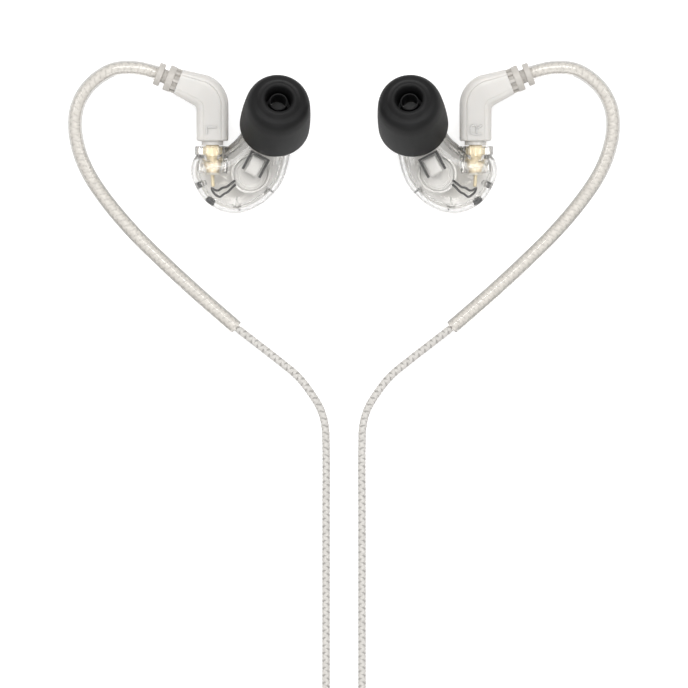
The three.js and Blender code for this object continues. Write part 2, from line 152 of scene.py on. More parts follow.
def smooth_step(x):
    x = np.clip(x, 0, 1)
    return x * x * (3 - 2 * x)


def angles(count):
    """Evenly spaced angles of one whole turn."""
    return np.linspace(0, 2 * math.pi, count, endpoint=False)


def level(loop, z):
    """A line of 2-D points at a height."""
    return np.column_stack([loop, np.full(len(loop), z)])


# ---- meshes, as (points, faces) ----
def loft(rings, wrap=False):
    """Skin over rings with the same number of points, closed by end faces or by wrapping."""
    rings = np.array(rings, float)
    rows, cols = rings.shape[:2]
    r = np.arange(rows if wrap else rows - 1)[:, None]
    c = np.arange(cols)[None, :]
    below, right = (r + 1) % rows, (c + 1) % cols
    quads = np.stack([r * cols + c, r * cols + right, below * cols + right, below * cols + c], -1)
    faces = quads.reshape(-1, 4).tolist()
    if not wrap:
        faces.append(list(range(cols))[::-1])
        faces.append(list(range((rows - 1) * cols, rows * cols)))
    return rings.reshape(-1, 3), faces


def joined(*parts):
    points, faces = [], []
    for p, f in parts:
        start = sum(len(q) for q in points)
        points.append(np.array(p, float))
        faces += [[start + i for i in face] for face in f]
    return np.vstack(points), faces


def fillet(corners, radius, steps=4, closed=True, axis=False):
    """Rounds the corners of a line of 2-D points, except those that lie on a lathe's axis."""
    p = [np.array(c, float) for c in corners]
    out = []
    for i, here in enumerate(p):
        if not closed and i in (0, len(p) - 1):
            out.append(here)
            continue
        a, b = p[i - 1] - here, p[(i + 1) % len(p)] - here
        la, lb = np.linalg.norm(a), np.linalg.norm(b)
        cut = min(radius, 0.45 * la, 0.45 * lb)
        if (axis and here[0] < 1e-6) or cut < 1e-4:
            out.append(here)
            continue
        start, end = here + a / la * cut, here + b / lb * cut
        for t in np.linspace(0, 1, steps + 1):
            out.append((1 - t) ** 2 * start + 2 * t * (1 - t) * here + t * t * end)
    return out


def axis_frame(axis):
    axis = axis.normalized()
    guide = Vector((1, 0, 0)) if abs(axis.x) < 0.9 else Vector((0, 1, 0))
    u = (guide - axis * guide.dot(axis)).normalized()
    return np.array(u), np.array(axis.cross(u)), np.array(axis)


def bar(radius, low, high):
    """The profile of a plain round bar."""
    return [(0, low), (radius, low), (radius, high), (0, high)]


def lathe(profile, origin, axis, segments=72, rounding=0.0, shape=None):
    """Turns a closed profile of (radius, distance along the axis) pairs about an axis."""
    if rounding:
        profile = fillet(profile, rounding, 3, axis=True)
    u, v, w = axis_frame(Vector(axis))
    angle = angles(segments)
    ring = np.cos(angle)[:, None] * u + np.sin(angle)[:, None] * v
    rings = []
    for r, h in profile:
        radius = np.full(segments, float(r)) if shape is None else shape(r, h, angle)
        rings.append(np.array(origin) + radius[:, None] * ring + h * w)
    return loft(rings, wrap=True)


def tube(path, radius, sides=24, section=None):
    """A round or shaped bar along a path. radius may be a number or one per point."""
    along, side, up = frames(path)
    angle = angles(sides)
    ring = np.stack([np.cos(angle), np.sin(angle)], 1) if section is None else section
    radius = np.broadcast_to(radius, len(path))[:, None, None]
    rings = path[:, None] + radius * (
        ring[None, :, :1] * side[:, None] + ring[None, :, 1:] * up[:, None]
    )
    return loft(rings)


def end_taper(path, radius, depth):
    """Radii that round both ends of a bar."""
    run = run_along(path)
    near = np.minimum(run, run[-1] - run) / depth
    drop = 1 - np.sqrt(np.clip(1 - (1 - np.minimum(near, 1)) ** 2, 0, 1))
    return radius - depth * drop


def plate(outline, low, high, edge=0.0, steps=3):
    """A flat plate with rounded edges over a closed outline in x and y."""
    loop = np.array(outline, float)
    lift = [0.5 * math.pi * i / steps for i in range(steps + 1)] if edge else [0.5 * math.pi]
    lower = [(edge * (1 - math.sin(a)), low + edge * (1 - math.cos(a))) for a in lift]
    upper = [(inset, low + high - z) for inset, z in lower[::-1]]
    return loft([level(inset_loop(loop, inset), z) for inset, z in lower + upper])


def inset_loop(loop, distance):
    """A closed line of 2-D points moved inwards."""
    after = np.roll(loop, -1, 0)
    area = 0.5 * np.sum(loop[:, 0] * after[:, 1] - loop[:, 1] * after[:, 0])
    along = unit(after - np.roll(loop, 1, 0))
    inward = np.stack([-along[:, 1], along[:, 0]], 1) * np.sign(area)
    return loop + inward * distance


def gap_to(points, loop):
    """Distance from each point to a closed line."""
    a = loop[None]
    ab = np.roll(loop, -1, 0)[None] - a
    ap = points[:, None] - a
    t = np.clip((ap * ab).sum(-1) / (ab * ab).sum(-1), 0, 1)
    return np.linalg.norm(ap - t[..., None] * ab, axis=-1).min(1)


def turned(mesh, angle, centre):
    """Turns a mesh about the Z axis and moves it."""
    c, s = math.cos(angle), math.sin(angle)
    p = np.array(mesh[0])
    moved = np.column_stack([p[:, 0] * c - p[:, 1] * s, p[:, 0] * s + p[:, 1] * c, p[:, 2]])
    return moved + np.array(centre), mesh[1]


def block(x0, x1, y0, y1, z0, z1, edge):
    corners = fillet([(x0, y0), (x1, y0), (x1, y1), (x0, y1)], edge, 3)
    return plate(corners, z0, z1, edge * 0.6)


def square(reach):
    return [(-reach, -reach), (reach, -reach), (reach, reach), (-reach, reach)]


# ---- Blender objects ----
def make_object(name, mesh, side=1, sharp=32):
    """An object from points and faces, and for a braid the depth attribute of each point, which
    the braid's material turns into painted shade.
    """
    points, faces, *depth = mesh
    data = bpy.data.meshes.new(name)
    scaled = np.array(points) * MM * np.array((side, 1, 1))
    data.from_pydata(scaled.tolist(), [], faces if side > 0 else [f[::-1] for f in faces])
    bm = bmesh.new()
    bm.from_mesh(data)
    if not depth:
        bmesh.ops.remove_doubles(bm, verts=bm.verts, dist=1e-7)
        bmesh.ops.dissolve_degenerate(bm, edges=bm.edges, dist=1e-8)
    bmesh.ops.recalc_face_normals(bm, faces=bm.faces)
    limit = math.radians(sharp)
    for face in bm.faces:
        face.smooth = True
    for edge in bm.edges:
        if len(edge.link_faces) == 2 and edge.calc_face_angle() > limit:
            edge.smooth = False
    bm.to_mesh(data)
    bm.free()
    for values in depth:
        layer = data.attributes.new("depth", "FLOAT", "POINT")
        layer.data.foreach_set("value", values.astype(np.float32))
    ob = bpy.data.objects.new(name, data)
    bpy.context.scene.collection.objects.link(ob)
    return ob


def one_piece(name, mesh, material, body, slot, *nodes, side=1, sharp=32):
    """A piece that rides on a CAD body and stands for the CAD nodes that it replaces."""
    ob = make_object(name, mesh, side, sharp)
    ob.data.materials.append(material)
    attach(ob, body)
    if nodes:
        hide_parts(*nodes)
    return ob


def both_sides(name, mesh, material, *words, sharp=32):
    """One piece on each side. A body or node that starts with * takes the side's name."""
    return {
        prefix: one_piece(f"{prefix}_{name}", mesh, material,
                          *(w.replace("*", prefix) for w in words), side=side, sharp=sharp)
        for prefix, side in SIDES
    }


def earpiece_part(name, mesh, material, slot, *nodes, sharp=32):
    return both_sides(name, mesh, material, "*_earpiece", slot, *nodes, sharp=sharp)


def carved(mesh, *steps):
    """The mesh after boolean steps, each an operation and another mesh."""
    base = make_object("carving", mesh)
    tools = []
    for operation, other in steps:
        tool = make_object("tool", other)
        modifier = base.modifiers.new("carve", "BOOLEAN")
        modifier.operation, modifier.solver, modifier.object = operation, "EXACT", tool
        tools.append(tool)
    graph = bpy.context.evaluated_depsgraph_get()
    data = bpy.data.meshes.new_from_object(base.evaluated_get(graph))
    points = np.array([v.co for v in data.vertices]) / MM
    faces = [list(p.vertices) for p in data.polygons]
    for ob in (base, *tools):
        bpy.data.objects.remove(ob)
    return points, faces


# ---- materials ----
CLOUDS = 160  # the scale of the faint colour variation on moulded surfaces
WAVE_SCALE = 0.314  # times a pitch in metres, the scale that gives one band for each pitch
THROUGH = (0.95, 0.945, 0.935, 1)  # what clear plastic leaves of the lamps' light


def feed(tree, node, inputs):
    """Links each input to the socket given for it, or sets it to the plain value given."""
    for key, value in inputs.items():
        if isinstance(value, bpy.types.NodeSocket):
            tree.links.new(value, node.inputs[key])
        else:
            node.inputs[key].default_value = value


def new_material(name):
    mat = bpy.data.materials.new(name)
    mat.use_nodes = True
    tree = mat.node_tree
    return mat, tree, tree.nodes["Principled BSDF"]


def add_node(tree, kind, inputs=None, **settings):
    node = tree.nodes.new("ShaderNode" + kind)
    for key, value in settings.items():
        setattr(node, key, value)
    feed(tree, node, inputs or {})
    return node


def noise_node(tree, scale, detail=3.0, roughness=0.5, stretch=None):
    """Noise whose scale is in features per metre of the object."""
    where = add_node(tree, "TexCoord").outputs["Object"]
    if stretch:
        where = add_node(tree, "Mapping", {"Vector": where, "Scale": stretch}).outputs[0]
    return add_node(tree, "TexNoise", {
        "Scale": scale, "Detail": detail, "Roughness": roughness, "Vector": where}).outputs["Fac"]


def ramp(tree, source, stops):
    node = add_node(tree, "ValToRGB", {"Fac": source})
    elements = node.color_ramp.elements
    while len(elements) < len(stops):
        elements.new(0.5)
    for element, (at, colour) in zip(elements, stops):
        element.position = at
        element.color = (*colour, 1)
    return node.outputs["Color"]


def spread(tree, source, low, high, start=0.3, end=0.7):
    """The source's range from start to end, stretched to run from low to high."""
    return add_node(tree, "MapRange", {
        "Value": source, "From Min": start, "From Max": end, "To Min": low, "To Max": high,
    }).outputs[0]


def bumped(tree, height, strength, distance):
    return add_node(tree, "Bump", {
        "Height": height, "Strength": strength, "Distance": distance}).outputs["Normal"]


def tinted(colour, factor):
    return tuple(min(1.0, c * factor) for c in colour)


def moulded(name, colour, rough, grain=2500, variation=0.05, bump=0.00001, metallic=0.0,
            strength=0.35, stretch=None, **sockets):
    """A moulded, turned or drawn surface: fine colour variation, uneven gloss and grain."""
    mat, tree, shader = new_material(name)
    fine = noise_node(tree, grain, 4.0, 0.6, stretch)
    feed(tree, shader, {
        "Base Color": ramp(tree, noise_node(tree, CLOUDS, 2.0), [
            (0.3, tinted(colour, 1 - variation)), (0.7, tinted(colour, 1 + variation))]),
        "Roughness": spread(tree, fine, rough - 0.05, rough + 0.07),
        "Metallic": metallic,
        "Normal": bumped(tree, fine, strength, bump),
        **{key.replace("_", " "): value for key, value in sockets.items()}})
    return mat


def clear_plastic(name, tint, rough, ior, wave, wave_scale, straight):
    """Clear moulded plastic. Rays from lamps pass it, so that what is inside is lit, and a
    share of the others goes straight through as well, which softens the darkest reflections."""
    mat, tree, shader = new_material(name)
    broad = noise_node(tree, wave_scale, 1.5)
    feed(tree, shader, {
        "Base Color": ramp(tree, broad, [(0.3, tinted(tint, 0.985)), (0.7, tint)]),
        "Roughness": spread(tree, noise_node(tree, 1800, 2.0), rough * 0.6, rough * 1.4),
        "Transmission Weight": 1.0,
        "IOR": ior,
        "Normal": bumped(tree, broad, 0.4, wave)})
    clear = add_node(tree, "BsdfTransparent", {"Color": THROUGH}).outputs[0]
    path = add_node(tree, "LightPath").outputs
    either = add_node(tree, "Math", {
        0: path["Is Shadow Ray"], 1: path["Is Diffuse Ray"]}, operation="MAXIMUM")
    softer = add_node(tree, "MixShader", {0: straight, 1: shader.outputs[0], 2: clear})
    mix = add_node(tree, "MixShader", {
        0: either.outputs[0], 1: softer.outputs[0], 2: clear})
    feed(tree, tree.nodes["Material Output"], {"Surface": mix.outputs[0]})
    return mat


def braided(name, low, high, valley_shade, light, rough):
    """Braided strands: the depth attribute paints shade into the valleys between them, darkest at
    each strand's edges.
    """
    mat, tree, shader = new_material(name)
    depth = add_node(tree, "Attribute", attribute_name="depth").outputs["Fac"]
    # painted shade: the colour runs from dark at a strand's edges to light along its middle
    strands = [(low, valley_shade), ((low + high) / 2, tinted(light, 0.9)), (high, light)]
    mottling = [(0.35, (0.93, 0.93, 0.93)), (0.65, (1, 1, 1))]
    mixed = add_node(tree, "Mix", {
        "Factor": 1.0, "A": ramp(tree, depth, strands),
        "B": ramp(tree, noise_node(tree, 700), mottling),
    }, data_type="RGBA", blend_type="MULTIPLY")
    fine = noise_node(tree, 5000)
    feed(tree, shader, {
        "Base Color": mixed.outputs["Result"],
        "Roughness": spread(tree, fine, rough - 0.08, rough + 0.08),
        "Normal": bumped(tree, fine, 0.3, 0.00001)})
    return mat


def mesh_screen(name, colour, pitch):
    """A woven screen: two sets of wires, one over the other, with the holes between them painted
    dark as painted shade.
    """
    mat, tree, shader = new_material(name)
    where = add_node(tree, "TexCoord").outputs["Object"]
    waves = [
        add_node(tree, "TexWave", {"Scale": WAVE_SCALE / pitch, "Vector": where},
                 bands_direction=direction).outputs["Fac"]
        for direction in ("X", "Y")
    ]
    high = add_node(tree, "Math", dict(enumerate(waves)), operation="MAXIMUM").outputs[0]
    feed(tree, shader, {
        # painted shade: the holes between the wires get a quarter of the wires' colour
        "Base Color": ramp(tree, high, [(0.45, tinted(colour, 0.25)), (0.8, colour)]),
        "Roughness": spread(tree, high, 0.8, 0.35, 0.4, 0.9),
        "Normal": bumped(tree, high, 0.6, 0.00004)})
    return mat


CLEAR_SHELL = clear_plastic("clear_shell", (0.98, 0.975, 0.965), 0.006, 1.49, 0.000012, 260, 0.05)
CLEAR_SLEEVE = clear_plastic("clear_sleeve", (0.66, 0.648, 0.628), 0.05, 1.45, 0.000004, 500, 0.0)
# The first colour of each braid is painted shade for the valleys between the strands.
BRAID = braided("braid", 0.66, 0.9, (0.345, 0.331, 0.311), (0.585, 0.565, 0.535), 0.42)
HOOK_BRAID = braided("hook_braid", 0.4, 0.92, (0.60, 0.575, 0.54), (0.84, 0.81, 0.765), 0.25)
MILKY = moulded("milky_plastic", (0.61, 0.595, 0.57), 0.34, 3500, 0.02, 0.000006,
                Subsurface_Weight=0.35, Subsurface_Scale=0.002,
                Subsurface_Radius=(1.0, 0.9, 0.8))
RELIEF = moulded("relief_elastomer", (0.49, 0.466, 0.433), 0.45, 4000, 0.03, 0.00001,
                 Subsurface_Weight=0.2, Subsurface_Scale=0.001,
                 Subsurface_Radius=(1.0, 0.95, 0.9))
SILICONE = moulded("ear_tip_silicone", (0.0062, 0.0062, 0.0065), 0.5, 7000, 0.06, 0.000012,
                   Specular_IOR_Level=0.22, strength=0.5)
BRASS = moulded("gold_contact", (0.80, 0.69, 0.48), 0.4, 3000, 0.05, 0.000004, 0.6,
                stretch=(1, 0.06, 1))
STEEL = moulded("driver_metal", (0.60, 0.595, 0.585), 0.55, 2500, 0.03, 0.000004, 0.55,
                stretch=(1, 0.1, 1))
MAGNET = moulded("magnet_nickel", (0.66, 0.66, 0.64), 0.24, 2500, 0.03, 0.000003, 1.0)
SPRING = moulded("spring_steel", (0.62, 0.62, 0.61), 0.26, 3000, 0.04, 0.000003, 1.0)
RUBBER = moulded("black_rubber", (0.03, 0.03, 0.03), 0.6, 5000, 0.1, 0.00001)
INSULATION = moulded("wire_insulation", (0.035, 0.035, 0.036), 0.4, 4000, 0.08, 0.000005)
INSULATOR = moulded("insulator", (0.62, 0.60, 0.55), 0.45, 3500, 0.04, 0.000006)
FILM = moulded("diaphragm_film", (0.72, 0.715, 0.705), 0.4, 1800, 0.04, 0.000008)
TIE = moulded("tie_strap", (0.05, 0.05, 0.052), 0.8, 2600, 0.15, 0.00006, strength=0.8)
VENT = mesh_screen("vent_mesh", (0.12, 0.12, 0.12), 0.00016)
SCREEN = mesh_screen("screen_mesh", (0.02, 0.02, 0.02), 0.00014)


# ---- camera, light and floor ----
VIEW_WIDTH = 129.34 * MM  # what the frame shows at floor level
VIEW_CENTRE_Y = -27.54 * MM
CAMERA_HEIGHT = 5.0
FLOOR_SIZE = 6.0
FLOOR_GLOW = 0.6
FLOOR_BACK = 0.84  # how much light the floor gives back to the object
SENSOR = 36.0


def make_stage():
    camera = bpy.data.objects.new("camera", bpy.data.cameras.new("camera"))
    camera.data.sensor_width = SENSOR
    camera.data.lens = SENSOR * CAMERA_HEIGHT / VIEW_WIDTH
    camera.data.clip_start, camera.data.clip_end = 0.1, 60
    camera.location = (0, VIEW_CENTRE_Y, CAMERA_HEIGHT)
    scene = bpy.context.scene
    scene.collection.objects.link(camera)
    scene.camera = camera
    scene.view_settings.view_transform = "Standard"

    floor = make_object("floor", plate(square(1), -0.02, -0.01))
    floor.scale = (FLOOR_SIZE / 2 / MM, FLOOR_SIZE / 2 / MM, 1)
    # The paper glows a little where it is seen directly, as a lit white sweep does, and gives
    # back less light from below than it shows, as on a raised glass table.
    mat, tree, seen = new_material("floor_paper")
    below = add_node(tree, "BsdfPrincipled")
    grain = noise_node(tree, 900)
    for shader, low, high in ((seen, 0.59, 0.61), (below, FLOOR_BACK - 0.01, FLOOR_BACK)):
        feed(tree, shader, {
            "Base Color": ramp(tree, grain, [(0.3, (low,) * 3), (0.7, (high,) * 3)]),
            "Roughness": 0.9, "Specular IOR Level": 0.1})
    feed(tree, seen, {"Emission Color": (1, 1, 1, 1), "Emission Strength": FLOOR_GLOW})
    path = add_node(tree, "LightPath")
    mix = add_node(tree, "MixShader", {
        0: path.outputs["Is Camera Ray"], 1: below.outputs[0], 2: seen.outputs[0]})
    feed(tree, tree.nodes["Material Output"], {"Surface": mix.outputs[0]})
    floor.data.materials.append(mat)

    world = bpy.data.worlds.new("studio")
    scene.world = world
    world.use_nodes = True
    tree = world.node_tree
    where = add_node(tree, "TexCoord").outputs["Generated"]
    split = add_node(tree, "SeparateXYZ", {0: where})
    sky = ramp(tree, split.outputs["Z"], [
        (0.0, (0.54, 0.535, 0.53)), (0.22, (0.57, 0.565, 0.56)), (0.5, (0.78, 0.775, 0.77)),
        (0.8, (1.0, 1.0, 1.0)),
    ])
    feed(tree, tree.nodes["Background"], {"Color": sky, "Strength": 0.75})
    for name, at, size, power in (
        ("top_light", (0, 1.1, 2.6), 1.6, 38), ("front_light", (0, -2.2, 2.2), 1.4, 15),
        ("left_light", (-1.8, 0.1, 1.9), 1.0, 10), ("right_light", (1.8, 0.1, 1.9), 1.0, 10),
    ):
        light = bpy.data.objects.new(name, bpy.data.lights.new(name, "AREA"))
        light.data.shape, light.data.size, light.data.energy = "DISK", size, power
        light.location = at
        light.rotation_mode = "QUATERNION"
        light.rotation_quaternion = Vector(at).to_track_quat("Z", "Y")
        scene.collection.objects.link(light)


make_stage()


# ---- cords ----
BRAID_COVER = 1.15  # strands this much wider than their share of the way round leave no gap
# The core's depth sets the painted shade it gets where it shows between the strands.
CORE_SHADE_DEPTH = 0.76  # the depth, as below, of the core that shows between the strands
BRANCH_PITCH, MAIN_PITCH, HOOK_PITCH = 2.8, 4.2, 2.52


def braid_mesh(path, run, pitch, outer, roll, sides):
    """Four flattened strands wound round a path, two each way, over and under each other.

    outer is the braid's radius. roll turns the pattern about the path. The last part of what
    it returns is 1 along the middle of a strand's outer face and 0 at its edges, and the braid's
    material paints shade where it is low."""
    middle, swing, thick = 0.70 * outer, 0.09 * outer, 0.21 * outer
    lean = math.atan(2 * math.pi * middle / pitch)  # between a strand and the path
    wide = BRAID_COVER * 0.25 * pitch * math.sin(lean)
    around = angles(sides)
    lateral, lift = wide * np.sin(around), thick * np.cos(around)
    along, side, up = frames(path)
    parts = [tube(path, 0.62 * outer, 10)]
    # The core gets a fixed depth, so that it is painted a little shaded.
    depth = [np.full(len(parts[0][0]), CORE_SHADE_DEPTH)]
    for way in (1, -1):
        for start in (0, math.pi):
            turn = way * 2 * math.pi * run / pitch + start + roll
            ahead = -way * lateral * math.sin(lean)
            angle = turn[:, None] + lateral * math.cos(lean) / middle
            over = way * swing * np.cos(4 * math.pi * (run[:, None] + ahead) / pitch)
            radius = middle + over + lift
            rings = (
                path[:, None] + ahead[None, :, None] * along[:, None]
                + (radius * np.cos(angle))[..., None] * side[:, None]
                + (radius * np.sin(angle))[..., None] * up[:, None]
            )
            parts.append(loft(rings))
            # painted shade: 0 at a strand's edges, where the material darkens it, 1 along its
            # middle
            depth.append(np.tile(np.maximum(np.cos(around), 0), len(path)))
    return *joined(*parts), np.concatenate(depth)


def branch_path():
    turns, rise = 3, 1.5
    along = np.linspace(0, turns, turns * 60 + 1)
    angle = math.pi + 2 * math.pi * along
    r = BRANCH_COIL_RADIUS
    coil = np.column_stack([
        BRANCH_X + r + r * np.cos(angle), BRANCH_COIL_Y + r * np.sin(angle),
        BRANCH_LOW + rise * along,
    ])
    straight = np.linspace(BRANCH_ROUTE[-1], coil[0], 8)[1:-1]
    return np.vstack([spline(BRANCH_ROUTE), straight, coil, spline(TAIL_ROUTE)])


def main_path():
    inner, outer = MAIN_COIL_RADII
    layers, turns, climb = 4, 4, 0.25  # climb is the part of a turn that rises to the next layer
    t = np.linspace(0, layers * turns + climb, layers * turns * 60 + 16)
    layer = np.minimum(np.floor(t / turns), layers - 1)
    inside = t - layer * turns
    share = np.clip(inside / (turns - climb), 0, 1)
    radius = np.where(layer % 2 == 0, outer - (outer - inner) * share,
                      inner + (outer - inner) * share)
    step_up = smooth_step((inside - (turns - climb)) / climb) * (layer < layers - 1)
    angle = math.pi + 2 * math.pi * t
    coil = np.column_stack([
        MAIN_COIL_CENTRE[0] + radius * np.cos(angle),
        MAIN_COIL_CENTRE[1] + radius * np.sin(angle),
        MAIN_RADIUS * (1 + 2 * (layer + step_up)),
    ])
    straight = np.linspace(LEAD_ROUTE[-1], (0, MAIN_COIL_CENTRE[1], MAIN_RADIUS), 10)[1:-1]
    return np.vstack([spline(LEAD_ROUTE), straight, coil, spline(MAIN_TAIL_ROUTE)])


def branch_roll(run):
    """The braid shows its crossings in the bend and its V pattern on the straight parts."""
    bend = smooth_step((run - 15) / 6) * (1 - smooth_step((run - 29) / 5))
    return math.radians(48) - math.radians(42) * bend


branch_line, branch_run = even(branch_path(), 0.15)
branch_mesh = braid_mesh(branch_line, branch_run, BRANCH_PITCH, 1.05 * BRANCH_RADIUS,
                         branch_roll(branch_run), 12)
branches = both_sides("branch_cord", branch_mesh, BRAID, CABLE, "cable_braid",
                      "*_branch_cable", "*_branch_coil", "*_branch_tail", sharp=180)
main_line, main_run = even(main_path(), 0.35)
main_mesh = braid_mesh(main_line, main_run, MAIN_PITCH, MAIN_RADIUS, 0.8, 8)
main_cord = one_piece("main_cord", main_mesh, BRAID, CABLE, "cable_braid",
                      "main_lead", "main_coil", "main_tail", sharp=180)


# ---- slider, splitter and plug ----
RING = angles(96)


def softened(values, power):
    """Cosines or sines, made to run round a soft-cornered rectangle instead of a circle."""
    return np.sign(values) * np.abs(values) ** power


def rounded_ring(half_width, half_height, y, z, power):
    x = half_width * softened(np.cos(RING), 2 / power)
    h = half_height * softened(np.sin(RING), 2 / power)
    return np.column_stack([x, np.full(len(RING), y), z + h])


def slot_ring(reach, radius, y, z):
    x = radius * np.cos(RING) + reach * np.sign(np.round(np.cos(RING), 9))
    return np.column_stack([x, np.full(len(RING), y), z + radius * np.sin(RING)])


def slider_mesh():
    z, half = 1.72, 4.0
    body = [(1, 0.8), (0.985, 0.88), (0.94, 0.95), (0.85, 0.99), (0.7, 1.0), (0.4, 0.95)]
    hole = [(1, 1.12), (0.96, 1.02), (0.9, 0.98)]
    rings = []
    for t, scale in (*((-t, scale) for t, scale in body), (0, 0.91), *body[::-1]):
        rings.append(rounded_ring(3.5 * scale, 1.7 * scale, SLIDER_Y + half * t, z, 2.4))
    for t, radius in (*hole, *((-t, radius) for t, radius in hole[::-1])):
        rings.append(slot_ring(0.85, radius, SLIDER_Y + half * t, z))
    return loft(rings, wrap=True)


def splitter_mesh():
    low, high = SPLITTER_Y
    z = 2.02
    rings = []
    for t in np.linspace(0, 1, 60):
        width = 1.75 + 1.65 * smooth_step((t - 0.25) / 0.45)
        height = 1.72 + 0.26 * smooth_step((t - 0.2) / 0.5)
        near = min(t, 1 - t) * (high - low)
        edge = 0.75 + 0.25 * math.sqrt(1 - (1 - min(near / 0.8, 1)) ** 2)
        rib = 0.0
        if 0.05 < t < 0.3:
            rib = 0.22 * max(0.0, math.sin(t * (high - low) / 1.05 * 2 * math.pi)) ** 2
        rings.append(rounded_ring(
            (width - rib) * edge, (height - rib) * edge, low + t * (high - low), z, 2.5))
    return loft(rings)


slider = one_piece("slider_body", slider_mesh(), MILKY, "chin_slider", "milky_plastic",
                   "chin_slider")
splitter = one_piece("splitter_body", splitter_mesh(), MILKY, CABLE, "milky_plastic", "splitter")


def plug_part(name, profile, material, slot, *nodes, rounding=0.12, shape=None):
    mesh = lathe(profile, PLUG_START, ALONG_Y, 96, rounding, shape=shape)
    return one_piece(name, mesh, material, CABLE, slot, *nodes)


def knurl(r, h, angle):
    """Fine grooves along the housing's grip."""
    depth = 0.07 * float(12 < h < 23)
    return r - depth * (0.5 + 0.5 * np.cos(36 * angle)) if r > 3 else np.full(len(angle), float(r))


ribbed = [(0, -0.2), (1.6, -0.2)]
for i in range(6):
    at = 0.6 + i * 1.35
    r = 1.62 + 0.09 * at
    ribbed += [(r, at), (r - 0.35, at + 0.1), (r - 0.3, at + 0.45), (r + 0.04, at + 0.55)]
ribbed += [(2.4, 8.9), (0, 8.9)]
grip = [(3.2, 11.9)] + [(3.2, 12.1 + i * 0.55) for i in range(20)] + [(3.2, 23.2)]
plug_pieces = [
    plug_part("plug_relief_body", ribbed, RELIEF, "relief_elastomer", "plug_relief"),
    plug_part("plug_grip", [(0, 8.9), (2.75, 8.9), (3.05, 9.1), (3.2, 9.6), *grip,
                            (3.2, 26.2), (2.9, 26.9), (2.6, 27.2), (0, 27.2)],
              MILKY, "milky_plastic", "plug_housing", rounding=0.08, shape=knurl),
    plug_part("jack_sleeve_contact", bar(1.75, 27.1, 35), BRASS, "gold_contact", "jack_sleeve"),
    plug_part("jack_ring_contact", bar(1.75, 35.3, 37.5), BRASS, "gold_contact", "jack_ring"),
    plug_part("jack_tip_contact", [
        (0, 37.8), (1.55, 37.8), (1.73, 38.3), (1.68, 38.7), (1.1, 39.2), (1.12, 39.5),
        (1.66, 40.1), (1.5, 40.6), (0.6, 41.3), (0, 41.3)], BRASS, "gold_contact", "jack_tip"),
    plug_part("jack_band_low", bar(1.7, 35, 35.3), RUBBER, "black_rubber", rounding=0.04),
    plug_part("jack_band_high", [(0, 37.5), (1.68, 37.5), (1.66, 37.8), (0, 37.8)], RUBBER,
              "black_rubber", rounding=0.04),
]


def crossings(path, centre, angle, reach):
    """Where a coiled path passes one angle of its coil, as (distance from centre, height)."""
    out = np.array((math.cos(angle), math.sin(angle)))
    away = path[:, :2] - np.array(centre)
    ahead, beside = away @ out, away @ np.array((-out[1], out[0]))
    found = []
    for i in np.flatnonzero(beside[:-1] * beside[1:] <= 0):
        if 0 < ahead[i] < reach:
            share = beside[i] / (beside[i] - beside[i + 1] + 1e-12)
            found.append((ahead[i] + share * (ahead[i + 1] - ahead[i]),
                          path[i, 2] + share * (path[i + 1, 2] - path[i, 2])))
    return np.array(found)


def hull(points):
    """The line stretched round a set of 2-D points."""
    def turns_right(a, b, c):
        return (b[0] - a[0]) * (c[1] - a[1]) <= (b[1] - a[1]) * (c[0] - a[0])

    ordered = sorted(map(tuple, np.round(points, 6)))
    halves = []
    for run in (ordered, ordered[::-1]):
        half = []
        for p in run:
            while len(half) > 1 and turns_right(half[-2], half[-1], p):
                half.pop()
            half.append(p)
        halves += half[:-1]
    return np.array(halves)


def tie_mesh(path, centre, reach, radius, angle, width=3.0, thick=0.28):
    """A strap stretched round the bundle of a coil, at one angle of it."""
    ring = (radius + thick + 0.05) * np.column_stack([np.cos(angles(24)), np.sin(angles(24))])
    cloud = (crossings(path, centre, angle, reach)[:, None] + ring[None]).reshape(-1, 2)
    cloud[:, 1] = np.maximum(cloud[:, 1], 0)
    stretched = hull(cloud)
    loop = even(np.vstack([stretched, stretched[:1]]), 0.3)[0][:-1]
    small = inset_loop(loop, thick)
    out = np.array((math.cos(angle), math.sin(angle), 0))
    across = np.array((-out[1], out[0], 0))
    edge = 0.06
    rings = []
    for line, place in ((inset_loop(loop, edge), -0.5), (loop, edge / width - 0.5),
                        (loop, 0.5 - edge / width), (inset_loop(loop, edge), 0.5),
                        (small, 0.5), (small, -0.5)):
        base = np.array((*centre, 0.0)) + across * place * width
        rings.append(base + line[:, :1] * out + line[:, 1:] * UP)
    return loft(rings, wrap=True)


ties = both_sides("branch_tie", tie_mesh(
    branch_line, (BRANCH_X + BRANCH_COIL_RADIUS, BRANCH_COIL_Y), BRANCH_COIL_RADIUS + 2,
    BRANCH_RADIUS, 0.35), TIE, CABLE, "black_rubber")
main_ties = [
    one_piece(f"main_tie_{i}", tie_mesh(
        main_line, MAIN_COIL_CENTRE, MAIN_COIL_RADII[1] + 2, MAIN_RADIUS, angle, 5.0),
        TIE, CABLE, "black_rubber")
    for i, angle in enumerate((0.7, 2.2))
]


# ---- ear hooks ----
sleeve_start = (*(BOOT_END + 4.15 * RELIEF_AXIS), CONNECTOR_Z)
hook_line, _ = even(spline([sleeve_start, *HOOK_ROUTE]), 0.35)
both_sides("hook_sleeve", tube(hook_line, end_taper(hook_line, HOOK_RADIUS, 0.12), 40),
           CLEAR_SLEEVE, CABLE, "hook_sleeve", "*_hook_tube", sharp=50)
relief_start = [(*(BOOT_END + d * RELIEF_AXIS), CONNECTOR_Z) for d in (0.3, 2.5)]
inner_line, inner_run = even(spline([*relief_start, *HOOK_ROUTE]), 0.14)
inner_mesh = braid_mesh(inner_line, inner_run, HOOK_PITCH, 0.74, 0.1, 12)
both_sides("hook_braid", inner_mesh, HOOK_BRAID, CABLE, "cable_braid", "*_hook_cable",
           sharp=180)


